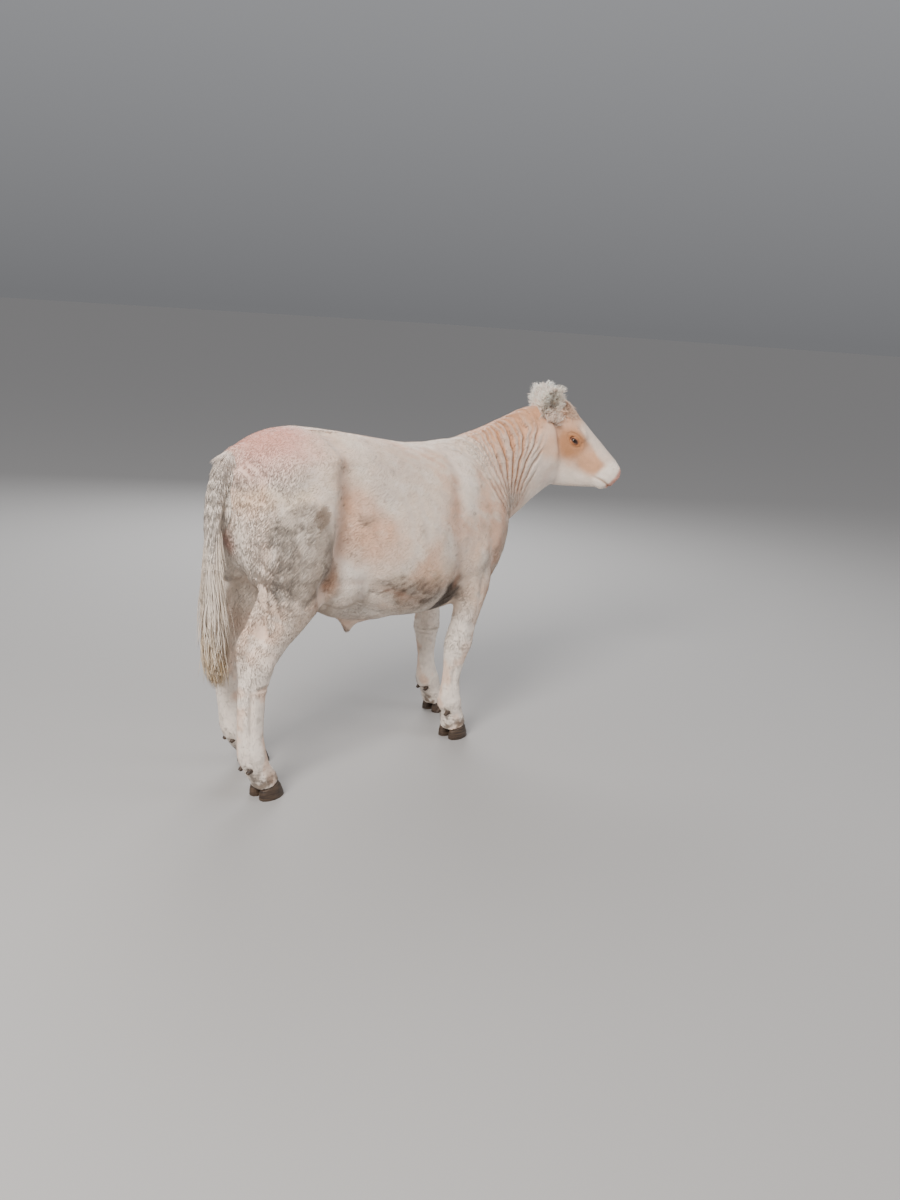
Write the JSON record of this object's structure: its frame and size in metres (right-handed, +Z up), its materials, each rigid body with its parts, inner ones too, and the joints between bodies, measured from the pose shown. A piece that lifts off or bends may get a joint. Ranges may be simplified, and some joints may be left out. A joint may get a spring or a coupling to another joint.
{
  "type": "charolais cattle",
  "caption": "Young polled cream-white beef bovine standing still on all fours, head turned to its right, tail hanging; life-size still model.",
  "frame": {"origin": "on the floor, under the middle of the whole animal's bounding box", "axes": "+X towards the animal's front, +Y to its left side, +Z up"},
  "size_m": [1.8868, 0.5514, 1.3617],
  "materials": {
    "cream_coat": "short matt hair",
    "tan_coat": "short matt hair",
    "tan_face": "short matt hair",
    "white_ear": "fluffy hair",
    "white_tail": "long wavy hair",
    "horn_claw": "worn horn",
    "horn_dewclaw": "worn horn",
    "wet_eye": "wet gloss"
  },
  "bodies": {
    "root": {"claw_fore_left_inner": "horn_claw", "claw_fore_left_outer": "horn_claw", "claw_fore_right_inner": "horn_claw", "claw_fore_right_outer": "horn_claw", "claw_hind_left_inner": "horn_claw", "claw_hind_left_outer": "horn_claw", "claw_hind_right_inner": "horn_claw", "claw_hind_right_outer": "horn_claw", "dewclaw_fore_left_inner": "horn_dewclaw", "dewclaw_fore_left_outer": "horn_dewclaw", "dewclaw_fore_right_inner": "horn_dewclaw", "dewclaw_fore_right_outer": "horn_dewclaw", "dewclaw_hind_left_inner": "horn_dewclaw", "dewclaw_hind_left_outer": "horn_dewclaw", "dewclaw_hind_right_inner": "horn_dewclaw", "dewclaw_hind_right_outer": "horn_dewclaw", "ear_left": "white_ear", "ear_right": "white_ear", "eye_left": "wet_eye", "eye_right": "wet_eye", "fore_cannon_left": "cream_coat", "fore_cannon_right": "cream_coat", "fore_leg_left": "cream_coat", "fore_leg_right": "cream_coat", "head": "tan_face", "hind_leg_left": "cream_coat", "hind_leg_right": "cream_coat", "hind_shank_left": "cream_coat", "hind_shank_right": "cream_coat", "neck": "tan_coat", "tail": "white_tail", "tail_switch": "white_tail", "torso": "cream_coat"}
  },
  "joints": []
}
